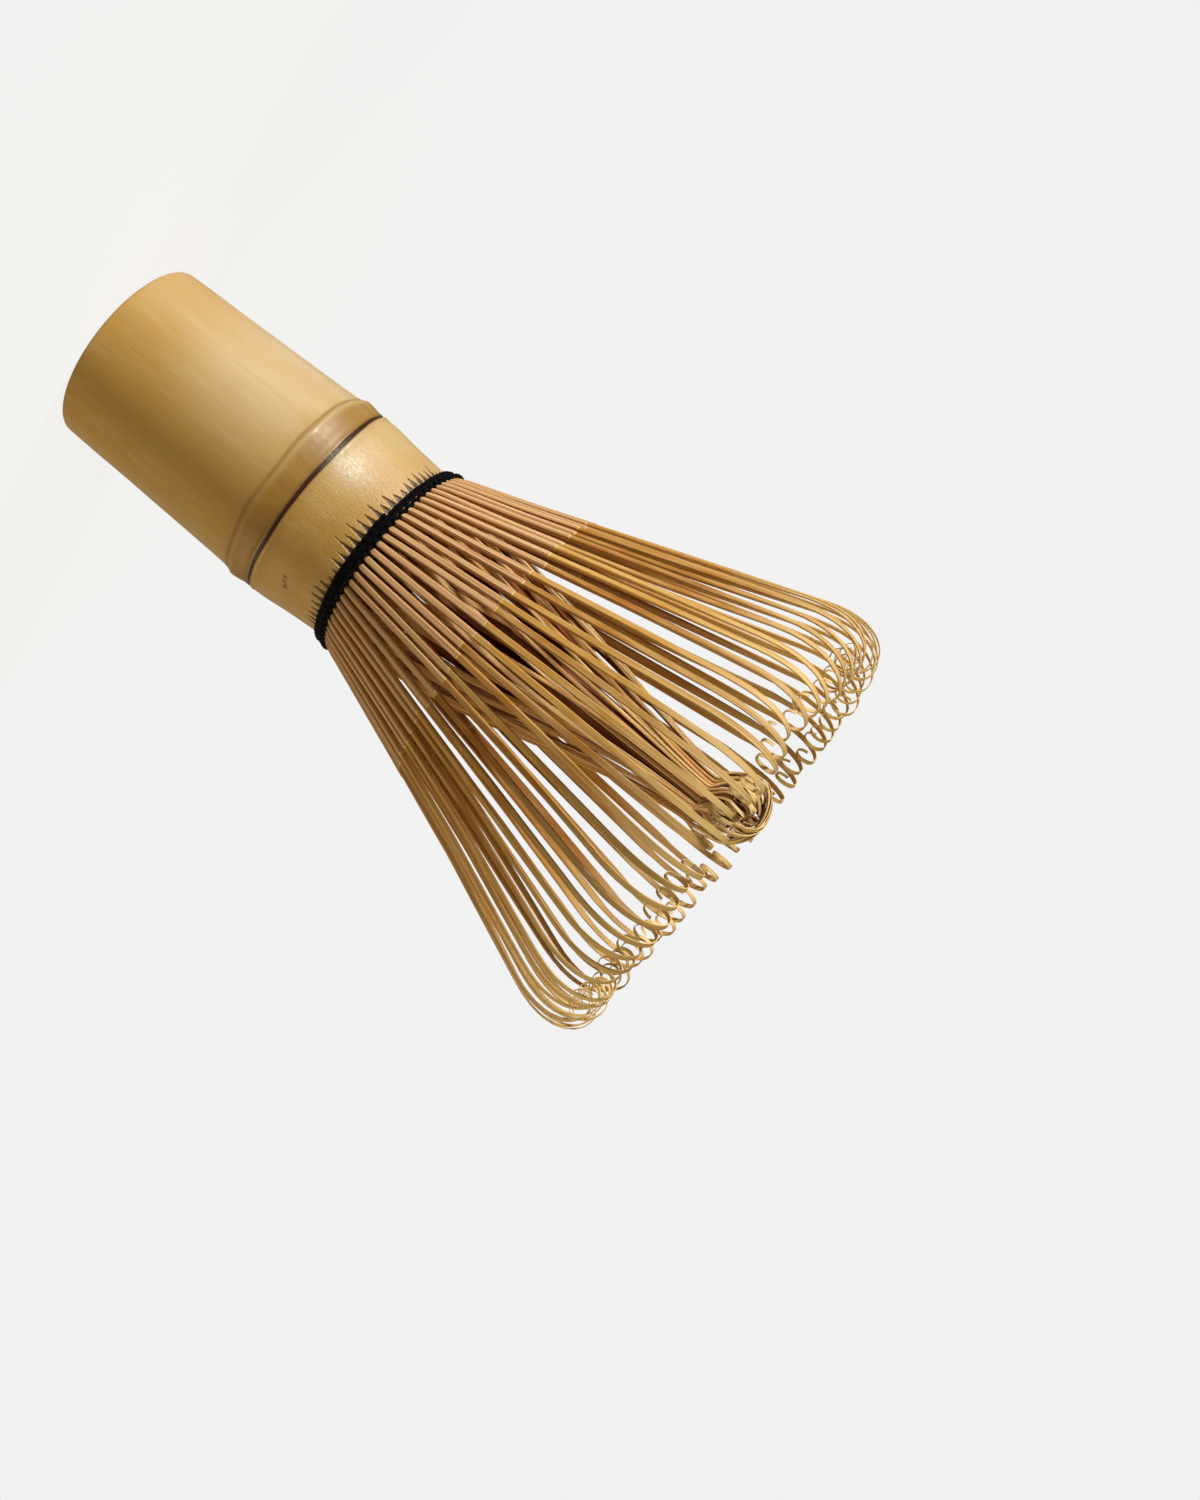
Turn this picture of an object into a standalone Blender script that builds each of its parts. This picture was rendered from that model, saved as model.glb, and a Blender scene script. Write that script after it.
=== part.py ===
"""Bamboo tea whisk (chasen), standing on the cut end of its handle with the tines up.

Frame: origin at the centre of the handle's cut end, +Z along the culm towards the tine tips.
Lengths are in metres, angles in degrees unless a name says otherwise.

The real whisk is one length of bamboo culm and one thread. Above the thread the culm's wall is split
into a ring of outer tines that flare and curl inwards, and a ring of inner tines that gather into a
bundle. Here the culm, the two runs of the thread and each strip of the split wall are separate solids:
an outer strip carries six tines and an inner strip twelve, joined at their root as in the culm.
"""

import math

import bmesh
import bpy
from mathutils import Matrix, Vector

# Culm (handle, node and collar)
CULM_SIDES = 36
CULM_WALL = 0.0035
COLLAR_WALL = 0.0018
END_RADIUS = 0.0133
END_CHAMFER = 0.0005
NODE_Z = 0.0303
NODE_RADIUS = 0.0146
GROOVE_Z = 0.0343
GROOVE_DEPTH = 0.0004
SEPTUM_BOTTOM_Z = 0.0305
SEPTUM_THICKNESS = 0.0022
COLLAR_FLOOR_Z = 0.0365
COLLAR_TOP_Z = 0.0443
COLLAR_TOP_RADIUS = 0.0134

# Split wall above the collar
TINE_COUNT = 72
TINES_PER_OUTER_STRIP = 6
TINES_PER_INNER_STRIP = 12
FIT_GAP = 0.0003
ROOT_BOTTOM_Z = COLLAR_TOP_Z + FIT_GAP
ROOT_TOP_Z = 0.0468
HINGE_Z = 0.0457
OUTER_ROOT_RADIUS = 0.0134
OUTER_ROOT_THICKNESS = 0.0006
INNER_ROOT_RADIUS = 0.0123
INNER_ROOT_THICKNESS = 0.0006
OUTER_TINE_WIDTH = 0.00085
INNER_TINE_ROOT_WIDTH = 0.00074
INNER_TINE_TIP_WIDTH = 0.00034

# Outer tines: a short lift over the thread, a straight flare, then a curl that tightens to the tip
LIFT_Z = 0.0490
LIFT_RADIUS = 0.01490
FLARE_ANGLE = 20.0
FLARE_TOP_Z = 0.0978
CURL_TURN = 345.0
CURL_STEPS = 9
CURL_FIRST_RADIUS = 0.0060
CURL_LAST_RADIUS = 0.0019
CURL_TIGHTENING = 2.0
OUTER_TIP_THICKNESS = 0.00026

# Inner tines: three layers that close into a bundle, which leans a little and ends in a domed head
BUNDLE_LAYERS = 3
LAYER_SPACING = 0.0010
LAYERS_PART_BY = 0.35
TAPER_DONE_BY = 0.50
BUNDLE_PROFILE = (
    (0.0610, 0.01070),
    (0.0760, 0.00780),
    (0.0880, 0.00510),
    (0.0955, 0.00390),
    (0.0988, 0.00430),
    (0.1018, 0.00510),
    (0.1045, 0.00450),
    (0.1058, 0.00330),
)
BUNDLE_LEAN = -0.0037
BUNDLE_LEAN_POWER = 2.4
BUNDLE_LEAN_START_Z = 0.050
BUNDLE_LEAN_END_Z = 0.104
INNER_TINE_THICKNESS = 0.00034

# Thread: turns round the outside of the roots, and a row that holds the two rings of tines apart
THREAD_DIAMETER = 0.00042
THREAD_TURNS = 3
THREAD_PITCH = 0.00046
THREAD_BOTTOM_Z = 0.0450
THREAD_RADIUS = 0.01405
THREAD_POINTS_PER_TURN = 36
SPACER_RADIUS = 0.01274
SPACER_Z = 0.0476
SPACER_TURN = 354.0

CULM_COLOUR = (0.62, 0.43, 0.20)
TINE_COLOUR = (0.60, 0.36, 0.14)
THREAD_COLOUR = (0.010, 0.010, 0.014)


def clear_scene():
    for obj in list(bpy.data.objects):
        bpy.data.objects.remove(obj, do_unlink=True)


def make_material(name, colour, roughness):
    material = bpy.data.materials.new(name)
    material.use_nodes = True
    shader = material.node_tree.nodes["Principled BSDF"]
    shader.inputs["Base Color"].default_value = (*colour, 1.0)
    shader.inputs["Roughness"].default_value = roughness
    shader.inputs["Metallic"].default_value = 0.0
    return material


def add_object(name, data, material):
    obj = bpy.data.objects.new(name, data)
    bpy.context.scene.collection.objects.link(obj)
    data.materials.append(material)
    return obj


def mesh_from(bm, name, smooth_angle=None):
    bmesh.ops.recalc_face_normals(bm, faces=bm.faces)
    mesh = bpy.data.meshes.new(name)
    bm.to_mesh(mesh)
    bm.free()
    if smooth_angle is not None:
        mesh.shade_smooth()
        mesh.set_sharp_from_angle(angle=math.radians(smooth_angle))
    return mesh


def polar(radius, angle, z):
    """The point at this radius, angle in radians and height."""
    return Vector((radius * math.cos(angle), radius * math.sin(angle), z))


def culm_profile():
    """Half section of the culm as (radius, height), from the axis under the septum round to the axis above it."""
    bore = END_RADIUS - CULM_WALL
    collar_bore = COLLAR_TOP_RADIUS - COLLAR_WALL
    return [
        (0.0, SEPTUM_BOTTOM_Z),
        (bore * 0.8, SEPTUM_BOTTOM_Z - 0.0006),
        (bore, SEPTUM_BOTTOM_Z - 0.0020),
        (bore, 0.0),
        (END_RADIUS - END_CHAMFER, 0.0),
        (END_RADIUS, END_CHAMFER),
        (0.01355, 0.0120),
        (0.01385, 0.0220),
        (0.01405, 0.0275),
        (0.01432, NODE_Z - 0.0012),
        (NODE_RADIUS, NODE_Z),
        (0.01436, GROOVE_Z - 0.0014),
        (0.01422, GROOVE_Z - 0.0003),
        (0.01422 - GROOVE_DEPTH, GROOVE_Z),
        (0.01425, GROOVE_Z + 0.0003),
        (0.01425, 0.0362),
        (0.01385, 0.0395),
        (COLLAR_TOP_RADIUS, COLLAR_TOP_Z),
        (collar_bore, COLLAR_TOP_Z),
        (collar_bore, COLLAR_FLOOR_Z),
        (collar_bore * 0.8, SEPTUM_BOTTOM_Z + SEPTUM_THICKNESS + 0.0012),
        (0.0, SEPTUM_BOTTOM_Z + SEPTUM_THICKNESS),
    ]


def make_culm(material):
    """The handle, its node with the septum across it, and the collar: one turned length of bamboo."""
    bm = bmesh.new()
    points = [bm.verts.new((radius, 0.0, z)) for radius, z in culm_profile()]
    edges = [bm.edges.new(pair) for pair in zip(points, points[1:])]
    bmesh.ops.spin(
        bm,
        geom=points + edges,
        cent=(0.0, 0.0, 0.0),
        axis=(0.0, 0.0, 1.0),
        angle=math.tau,
        steps=CULM_SIDES,
        use_merge=True,
    )
    bmesh.ops.remove_doubles(bm, verts=bm.verts, dist=1e-6)
    add_object("culm_handle", mesh_from(bm, "culm_handle", smooth_angle=35.0), material)


def root_strip(bm, tine_angles, radius, thickness, width):
    """The unsplit foot of a strip, an arc of the culm's wall. Returns the top face under each tine."""
    half = width / (2.0 * radius)
    columns = [angle + side * half for angle in tine_angles for side in (-1, 1)]
    rings = []
    for angle in columns:
        rings.append(
            [
                bm.verts.new(polar(radius - thickness, angle, ROOT_BOTTOM_Z)),
                bm.verts.new(polar(radius, angle, ROOT_BOTTOM_Z)),
                bm.verts.new(polar(radius, angle, ROOT_TOP_Z)),
                bm.verts.new(polar(radius - thickness, angle, ROOT_TOP_Z)),
            ]
        )
    bm.faces.new(rings[0])
    bm.faces.new(rings[-1])
    tops = []
    for near, far in zip(rings, rings[1:]):
        for i in (0, 1, 3):
            bm.faces.new((near[i], near[(i + 1) % 4], far[(i + 1) % 4], far[i]))
        tops.append(bm.faces.new((near[3], near[2], far[2], far[3])))
    return tops[::2]


def extrude_tine(bm, face, stations):
    """Extrudes a tine from its root face. A station is its four corners, in the order of the face's."""
    for corners in stations:
        face = bmesh.ops.extrude_discrete_faces(bm, faces=[face])["faces"][0]
        for vert, corner in zip(face.verts, corners):
            vert.co = corner


def tine_corners(centre, across, outward, width, thickness):
    """Corners of a tine's section: inner and outer on one side, then outer and inner on the other."""
    side = across * (width / 2.0)
    out = outward * (thickness / 2.0)
    return (centre - side - out, centre - side + out, centre + side + out, centre + side - out)


def outer_centreline():
    """Stations of an outer tine in its own radial plane: (radius, height, heading from +Z outwards in radians)."""
    flare = math.radians(FLARE_ANGLE)
    run = FLARE_TOP_Z - LIFT_Z
    radius = LIFT_RADIUS + run * math.tan(flare)
    z = FLARE_TOP_Z
    stations = [(LIFT_RADIUS, LIFT_Z, flare), (radius, z, flare)]
    turn = math.radians(CURL_TURN) / CURL_STEPS
    heading = flare
    for step in range(CURL_STEPS):
        share = (1.0 - step / (CURL_STEPS - 1)) ** CURL_TIGHTENING
        curl_radius = CURL_LAST_RADIUS + (CURL_FIRST_RADIUS - CURL_LAST_RADIUS) * share
        chord = 2.0 * curl_radius * math.sin(turn / 2.0)
        radius += chord * math.sin(heading - turn / 2.0)
        z += chord * math.cos(heading - turn / 2.0)
        heading -= turn
        stations.append((radius, z, heading))
    return stations


def outer_stations(angle):
    """Corner sets of the outer tine that stands at this angle."""
    across = polar(1.0, angle + math.pi / 2.0, 0.0)
    line = outer_centreline()
    corners = []
    for i, (radius, z, heading) in enumerate(line):
        share = i / (len(line) - 1)
        thickness = OUTER_ROOT_THICKNESS + (OUTER_TIP_THICKNESS - OUTER_ROOT_THICKNESS) * share
        outward = polar(math.cos(heading), angle, -math.sin(heading))
        corners.append(tine_corners(polar(radius, angle, z), across, outward, OUTER_TINE_WIDTH, thickness))
    return corners


def bundle_centre(z):
    """Centre of the leaning inner bundle at this height."""
    share = (z - BUNDLE_LEAN_START_Z) / (BUNDLE_LEAN_END_Z - BUNDLE_LEAN_START_Z)
    share = min(max(share, 0.0), 1.0)
    return Vector((BUNDLE_LEAN * share**BUNDLE_LEAN_POWER, 0.0, 0.0))


def inner_stations(angle, layer):
    """Corner sets of the inner tine that stands at this angle and goes to this layer of the bundle."""
    across = polar(1.0, angle + math.pi / 2.0, 0.0)
    first_z = BUNDLE_PROFILE[0][0]
    last_z = BUNDLE_PROFILE[-1][0]
    corners = []
    for z, radius in BUNDLE_PROFILE:
        share = (z - first_z) / (last_z - first_z)
        depth = layer * LAYER_SPACING * min(1.0, LAYERS_PART_BY + share)
        taper = min(1.0, TAPER_DONE_BY + share)
        width = INNER_TINE_ROOT_WIDTH + (INNER_TINE_TIP_WIDTH - INNER_TINE_ROOT_WIDTH) * taper
        centre = polar(radius - depth, angle, z) + bundle_centre(z)
        outward = polar(1.0, angle, 0.0)
        corners.append(tine_corners(centre, across, outward, width, INNER_TINE_THICKNESS))
    return corners


def set_origin(obj, point):
    """Moves the object's origin to the point without moving its mesh."""
    obj.data.transform(Matrix.Translation(-point))
    obj.location = point


def make_outer_strip(index, material):
    """One strip of the outer ring, with its flared and curled tines."""
    pitch = math.tau / TINE_COUNT
    first = index * TINES_PER_OUTER_STRIP
    angles = [(first + i + 0.5) * pitch for i in range(TINES_PER_OUTER_STRIP)]
    bm = bmesh.new()
    tops = root_strip(bm, angles, OUTER_ROOT_RADIUS, OUTER_ROOT_THICKNESS, OUTER_TINE_WIDTH)
    for angle, face in zip(angles, tops):
        extrude_tine(bm, face, outer_stations(angle))
    name = f"outer_tines_{index + 1:02d}"
    strip = add_object(name, mesh_from(bm, name), material)
    set_origin(strip, polar(OUTER_ROOT_RADIUS - OUTER_ROOT_THICKNESS / 2.0, sum(angles) / len(angles), HINGE_Z))


def make_inner_strip(index, material):
    """One strip of the inner ring, whose tines go in turn to the layers of the bundle."""
    pitch = math.tau / TINE_COUNT
    first = index * TINES_PER_INNER_STRIP
    angles = [(first + i) * pitch for i in range(TINES_PER_INNER_STRIP)]
    bm = bmesh.new()
    tops = root_strip(bm, angles, INNER_ROOT_RADIUS, INNER_ROOT_THICKNESS, INNER_TINE_ROOT_WIDTH)
    for i, (angle, face) in enumerate(zip(angles, tops)):
        extrude_tine(bm, face, inner_stations(angle, i % BUNDLE_LAYERS))
    name = f"inner_tines_{index + 1}"
    strip = add_object(name, mesh_from(bm, name), material)
    set_origin(strip, polar(INNER_ROOT_RADIUS - INNER_ROOT_THICKNESS / 2.0, sum(angles) / len(angles), HINGE_Z))


def make_thread(name, points, material):
    """A tube along the points, with filled ends."""
    curve = bpy.data.curves.new(name, "CURVE")
    curve.dimensions = "3D"
    curve.bevel_depth = THREAD_DIAMETER / 2.0
    curve.bevel_resolution = 1
    curve.use_fill_caps = True
    spline = curve.splines.new("POLY")
    spline.points.add(len(points) - 1)
    for slot, point in zip(spline.points, points):
        slot.co = (*point, 1.0)
    add_object(name, curve, material)


def binding_points():
    """The visible turns of the thread, wound upwards round the outer roots."""
    count = THREAD_TURNS * THREAD_POINTS_PER_TURN
    points = []
    for i in range(count + 1):
        turns = i / THREAD_POINTS_PER_TURN
        points.append(polar(THREAD_RADIUS, turns * math.tau, THREAD_BOTTOM_Z + turns * THREAD_PITCH))
    return points


def spacer_points():
    """The row of thread between the outer and the inner tines."""
    count = THREAD_POINTS_PER_TURN
    return [polar(SPACER_RADIUS, math.radians(SPACER_TURN) * i / count, SPACER_Z) for i in range(count + 1)]


def main():
    clear_scene()
    culm = make_material("bamboo culm", CULM_COLOUR, 0.45)
    tine = make_material("bamboo tine", TINE_COLOUR, 0.5)
    thread = make_material("black thread", THREAD_COLOUR, 0.85)
    make_culm(culm)
    for index in range(TINE_COUNT // TINES_PER_OUTER_STRIP):
        make_outer_strip(index, tine)
    for index in range(TINE_COUNT // TINES_PER_INNER_STRIP):
        make_inner_strip(index, tine)
    make_thread("binding_thread", binding_points(), thread)
    make_thread("spacer_thread", spacer_points(), thread)


main()
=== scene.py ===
"""Looks for the bamboo tea whisk: carved culm, 72 outer and 72 inner tines, black binding thread.

Everything is built in the part's own frame: origin at the handle's cut end, +Z towards the tine tips.
The builders work in millimetres, and add_mesh turns them into metres. Azimuths are in radians from +X.
"""
import math

import bpy
import numpy as np
from mathutils import Matrix, Vector


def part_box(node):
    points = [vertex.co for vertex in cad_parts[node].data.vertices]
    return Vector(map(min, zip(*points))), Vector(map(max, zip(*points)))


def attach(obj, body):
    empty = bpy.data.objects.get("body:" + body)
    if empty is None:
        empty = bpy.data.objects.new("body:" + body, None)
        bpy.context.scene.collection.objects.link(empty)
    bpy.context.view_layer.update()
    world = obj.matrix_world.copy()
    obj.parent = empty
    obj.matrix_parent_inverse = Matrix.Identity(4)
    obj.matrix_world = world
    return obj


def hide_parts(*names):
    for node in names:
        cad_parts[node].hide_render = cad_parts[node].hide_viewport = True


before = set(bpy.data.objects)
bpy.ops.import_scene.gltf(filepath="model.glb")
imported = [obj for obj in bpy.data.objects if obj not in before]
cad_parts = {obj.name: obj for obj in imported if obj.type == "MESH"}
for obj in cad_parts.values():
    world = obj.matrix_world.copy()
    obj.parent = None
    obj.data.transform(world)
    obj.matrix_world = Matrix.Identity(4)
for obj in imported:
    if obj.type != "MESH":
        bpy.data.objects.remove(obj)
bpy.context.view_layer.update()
rng = np.random.default_rng(11)

MM = 0.001
TINES = 72                    # in each of the two rings
OUTER_STRIPS = 12
INNER_STRIPS = 6
PITCH = math.tau / TINES
FRONT = -math.pi / 2.0        # azimuth of the near side

culm_lo, culm_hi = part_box("culm_handle")
THREAD_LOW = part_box("binding_thread")[0].z / MM
TINE_ROOT = culm_hi.z / MM + 0.55
FREE_Z = 47.0                 # the thread holds the tines up to here


# ---------------------------------------------------------------- mesh helpers

def add_mesh(name, verts_mm, quads, caps=(), smooth_angle=38.0):
    """A mesh object from vertices in millimetres, quads as an index array, and optional n-gon caps."""
    mesh = bpy.data.meshes.new(name)
    faces = [tuple(q) for q in np.asarray(quads).tolist()] + [tuple(c) for c in caps]
    mesh.from_pydata((np.asarray(verts_mm) * MM).tolist(), [], faces)
    mesh.update()
    mesh.shade_smooth()
    if smooth_angle is not None:
        mesh.set_sharp_from_angle(angle=math.radians(smooth_angle))
    return link(name, mesh)


def link(name, data):
    obj = bpy.data.objects.new(name, data)
    bpy.context.scene.collection.objects.link(obj)
    return obj


def put_attribute(obj, name, values, domain="POINT"):
    values = np.asarray(values, dtype=np.float32)
    kind, field = ("FLOAT_VECTOR", "vector") if values.ndim == 2 else ("FLOAT", "value")
    obj.data.attributes.new(name, kind, domain).data.foreach_set(field, values.ravel())


def smoothstep(low, high, x):
    t = np.clip((np.asarray(x, dtype=float) - low) / (high - low), 0.0, 1.0)
    return t * t * (3.0 - 2.0 * t)


def bump(x, centre, width):
    return np.exp(-((np.asarray(x) - centre) / width) ** 2)


def smooth_curve(points, x, passes=2):
    """A smoothed run through (x, y) points, evaluated at x."""
    xs, ys = np.array(points, dtype=float).T
    fine = np.linspace(xs[0], xs[-1], 600)
    y = np.interp(fine, xs, ys)
    reach = 9
    kernel = np.hanning(2 * reach + 1)
    kernel /= kernel.sum()
    for _ in range(passes):
        before, after = 2 * y[0] - y[reach:0:-1], 2 * y[-1] - y[-2:-2 - reach:-1]
        y = np.convolve(np.concatenate((before, y, after)), kernel, mode="valid")
    return np.interp(x, fine, y)


def unit(rows):
    return rows / np.linalg.norm(rows, axis=1)[:, None]


def square_to(rows, tangent):
    """Each row turned square to its tangent, with length one."""
    return unit(rows - (rows * tangent).sum(1)[:, None] * tangent)


def arc_length(path):
    return np.concatenate(([0.0], np.cumsum(np.linalg.norm(np.diff(path, axis=0), axis=1))))


def sleeve(rows, sides, base=0):
    """Quads that join one ring of vertices to the next."""
    i = np.arange(rows - 1)[:, None] * sides + base
    j = np.arange(sides)[None, :]
    after = (j + 1) % sides
    return np.stack([i + j, i + after, i + sides + after, i + sides + j], -1).reshape(-1, 4)


def round_axis(radius, angle, z):
    """Points at a radius, an azimuth and a height."""
    return np.stack([radius * np.cos(angle), radius * np.sin(angle), z], -1)


STRIP_SIDES = 8
CHAMFER = 0.22                # share of a strip's smaller measure
# how far each of a strip's eight faces belongs to its flanks and to the face turned to the axis, for the
# painted shade and highlights laid on those faces
FACE_FLANK = np.array([1.0, 0.5, 0.0, 0.5, 1.0, 0.5, 0.0, 0.5])
FACE_INSIDE = np.array([0.0, 0.0, 0.0, 0.0, 0.0, 0.6, 1.0, 0.6])


class Ribbons:
    """Collects swept strips of bamboo and makes one mesh of them.

    Each point carries tone (0 light to 1 dark, one value a tine), along (0 at the root to 1 at the tip),
    skin (1 on the bamboo's skin, -1 on the ledge above it, painted lighter as a highlight along the step),
    shade (painted shade for how deep it lies among the others) and fibre (its place across and along the
    grain).
    """

    def __init__(self):
        self.verts, self.quads, self.caps = [], [], []
        self.point = {"tone": [], "along": [], "skin": [], "shade": [], "fibre": []}
        self.rows = 0
        self.count = 0

    def add(self, centre, across, width, thickness, tone, along, skin, shade):
        """centre and across are (n, 3) in millimetres; the others but tone have n values."""
        n = len(centre)
        tangent = unit(np.gradient(centre, axis=0))
        across = square_to(across, tangent)
        outward = np.cross(across, tangent)
        chamfer = CHAMFER * np.minimum(width, thickness)
        half, deep = width / 2.0, thickness / 2.0
        a = np.stack([-half, -half, -half + chamfer, half - chamfer,
                      half, half, half - chamfer, -half + chamfer], 1)
        o = np.stack([-deep + chamfer, deep - chamfer, deep, deep,
                      deep - chamfer, -deep + chamfer, -deep, -deep], 1)
        ring = centre[:, None, :] + a[..., None] * across[:, None, :] + o[..., None] * outward[:, None, :]
        first = self.count
        last = first + (n - 1) * STRIP_SIDES
        self.verts.append(ring.reshape(-1, 3))
        self.quads.append(sleeve(n, STRIP_SIDES, first)[:, ::-1])
        self.caps.append(tuple(range(first, first + STRIP_SIDES)))
        self.caps.append(tuple(range(last + STRIP_SIDES - 1, last - 1, -1)))
        offset = rng.uniform(0.0, 400.0)
        run = np.repeat(arc_length(centre)[:, None], STRIP_SIDES, 1)
        self.point["fibre"].append(np.stack([a + offset, o, run], -1).reshape(-1, 3))
        self.point["tone"].append(np.full(n * STRIP_SIDES, tone))
        for key, values in (("along", along), ("skin", skin), ("shade", shade)):
            self.point[key].append(np.repeat(values, STRIP_SIDES))
        self.rows += n - 1
        self.count += n * STRIP_SIDES

    def make(self, name):
        obj = add_mesh(name, np.concatenate(self.verts), np.concatenate(self.quads), self.caps)
        for key, values in self.point.items():
            put_attribute(obj, key, np.concatenate(values))
        for key, kinds in (("flank_shading", FACE_FLANK), ("inside_shade", FACE_INSIDE)):
            sides = np.tile(kinds, self.rows)
            put_attribute(obj, key, np.concatenate((sides, np.zeros(len(self.caps)))), "FACE")
        return obj


# ---------------------------------------------------------------- materials

class Nodes:
    """A small writer for a material's node tree."""

    def __init__(self, name):
        self.material = bpy.data.materials.new(name)
        self.material.use_nodes = True
        self.tree = self.material.node_tree
        self.shader = self.tree.nodes["Principled BSDF"]

    def new(self, kind, **settings):
        node = self.tree.nodes.new(kind)
        for key, value in settings.items():
            setattr(node, key, value)
        return node

    def plug(self, value, socket):
        if isinstance(value, bpy.types.NodeSocket):
            self.tree.links.new(value, socket)
        else:
            socket.default_value = value

    def place(self):
        return self.new("ShaderNodeTexCoord").outputs["Object"]

    def attribute(self, name, output="Fac"):
        return self.new("ShaderNodeAttribute", attribute_name=name).outputs[output]

    def math(self, operation, a, b):
        node = self.new("ShaderNodeMath", operation=operation)
        self.plug(a, node.inputs[0])
        self.plug(b, node.inputs[1])
        return node.outputs[0]

    def times(self, a, b):
        return self.math("MULTIPLY", a, b)

    def noise(self, vector, scale, detail, roughness=0.55):
        """Fractal noise with its own scale along each axis of the vector."""
        mapping = self.new("ShaderNodeMapping")
        self.plug(vector, mapping.inputs["Vector"])
        mapping.inputs["Scale"].default_value = scale
        node = self.new("ShaderNodeTexNoise")
        self.plug(mapping.outputs["Vector"], node.inputs["Vector"])
        node.inputs["Scale"].default_value = 1.0
        node.inputs["Detail"].default_value = detail
        node.inputs["Roughness"].default_value = roughness
        return node.outputs["Fac"]

    def span(self, value, low, high, to_low=0.0, to_high=1.0):
        node = self.new("ShaderNodeMapRange", interpolation_type="SMOOTHSTEP")
        self.plug(value, node.inputs["Value"])
        for key, number in (("From Min", low), ("From Max", high), ("To Min", to_low), ("To Max", to_high)):
            node.inputs[key].default_value = number
        return node.outputs["Result"]

    def mix(self, factor, a, b):
        node = self.new("ShaderNodeMix", data_type="RGBA")
        self.plug(factor, node.inputs[0])
        self.plug((*a, 1.0) if isinstance(a, tuple) else a, node.inputs[6])
        self.plug((*b, 1.0) if isinstance(b, tuple) else b, node.inputs[7])
        return node.outputs[2]

    def paint(self, colour, *coats):
        """A colour with (how much, colour) coats laid over it one after the other."""
        for share, coat in coats:
            colour = self.mix(share, colour, coat)
        return colour

    def bump(self, height, distance, strength):
        node = self.new("ShaderNodeBump")
        node.inputs["Distance"].default_value = distance
        node.inputs["Strength"].default_value = strength
        self.plug(height, node.inputs["Height"])
        self.plug(node.outputs["Normal"], self.shader.inputs["Normal"])

    def finish(self, colour, roughness, specular=None):
        self.plug(colour, self.shader.inputs["Base Color"])
        self.plug(roughness, self.shader.inputs["Roughness"])
        if specular is not None:
            self.shader.inputs["Specular IOR Level"].default_value = specular
        return self.material


def culm_material():
    n = Nodes("culm_bamboo")
    place = n.place()
    fine = n.noise(place, (5200.0, 5200.0, 70.0), 3.0)
    streak = n.noise(place, (1100.0, 1100.0, 16.0), 4.0)
    cloud = n.noise(place, (130.0, 130.0, 60.0), 3.0)
    fleck = n.noise(place, (2600.0, 2600.0, 420.0), 2.0)
    blotch = n.noise(place, (330.0, 330.0, 45.0), 4.0, 0.65)
    grit = n.noise(place, (5200.0, 5200.0, 1700.0), 3.0, 0.7)
    grain = n.attribute("grain")
    slit = n.attribute("slit")
    colour = n.paint(
        (0.61, 0.385, 0.105),
        (n.span(cloud, 0.32, 0.68), (0.65, 0.440, 0.155)),
        # amber: deeper amber towards the cut end and just under the thread, and painted shade down the side
        # turned from the key light
        (n.attribute("amber"), (0.59, 0.325, 0.062)),
        (n.span(streak, 0.40, 0.75, 0.0, 0.28), (0.50, 0.295, 0.085)),
        (n.span(fine, 0.45, 0.75, 0.0, 0.20), (0.70, 0.51, 0.24)),
        (n.span(fleck, 0.66, 0.80, 0.0, 0.25), (0.36, 0.19, 0.06)),
        # painted sheen: a painted highlight under the ridge, a broad painted sheen away from the shadow side,
        # and painted reflections on the lit -X side and along the +X edge
        (n.times(n.attribute("painted_sheen"), n.span(streak, 0.2, 0.8, 0.5, 1.0)), (0.70, 0.52, 0.29)),
        (n.span(blotch, 0.50, 0.72, 0.0, 0.30), (0.76, 0.58, 0.34)),
        (n.span(blotch, 0.30, 0.46, 0.34, 0.0), (0.50, 0.315, 0.100)),
        # the node's brown band, a brown halo over the groove, and a painted shadow line in the hollow under
        # the ridge
        (n.times(n.attribute("band"), n.span(blotch, 0.30, 0.62, 0.70, 1.0)), (0.34, 0.170, 0.022)),
        # the groove's dark line: partly the scar's own colour, partly painted shade in its recess
        (n.attribute("groove"), (0.050, 0.013, 0.005)),
        # slits: the cuts are real, and their dark colour is painted shade inside them, deepest at the top
        (slit, (0.060, 0.014, 0.004)),
        (n.attribute("spot"), (0.075, 0.022, 0.008)),
        (n.times(n.attribute("glint"), n.span(grit, 0.38, 0.62, 0.10, 1.0)), (0.98, 0.88, 0.66)),
    )
    polish = n.times(grain, n.span(grit, 0.50, 0.72, 0.0, 0.14))
    roughness = n.math("SUBTRACT", n.span(streak, 0.2, 0.8, 0.36, 0.50), polish)
    height = n.math("ADD", n.times(fine, 0.30), n.times(streak, 0.4))
    height = n.math("ADD", height, n.times(grit, grain))
    height = n.math("ADD", height, n.times(slit, -2.5))
    n.bump(height, 0.00006, 0.8)
    return n.finish(colour, roughness)


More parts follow.
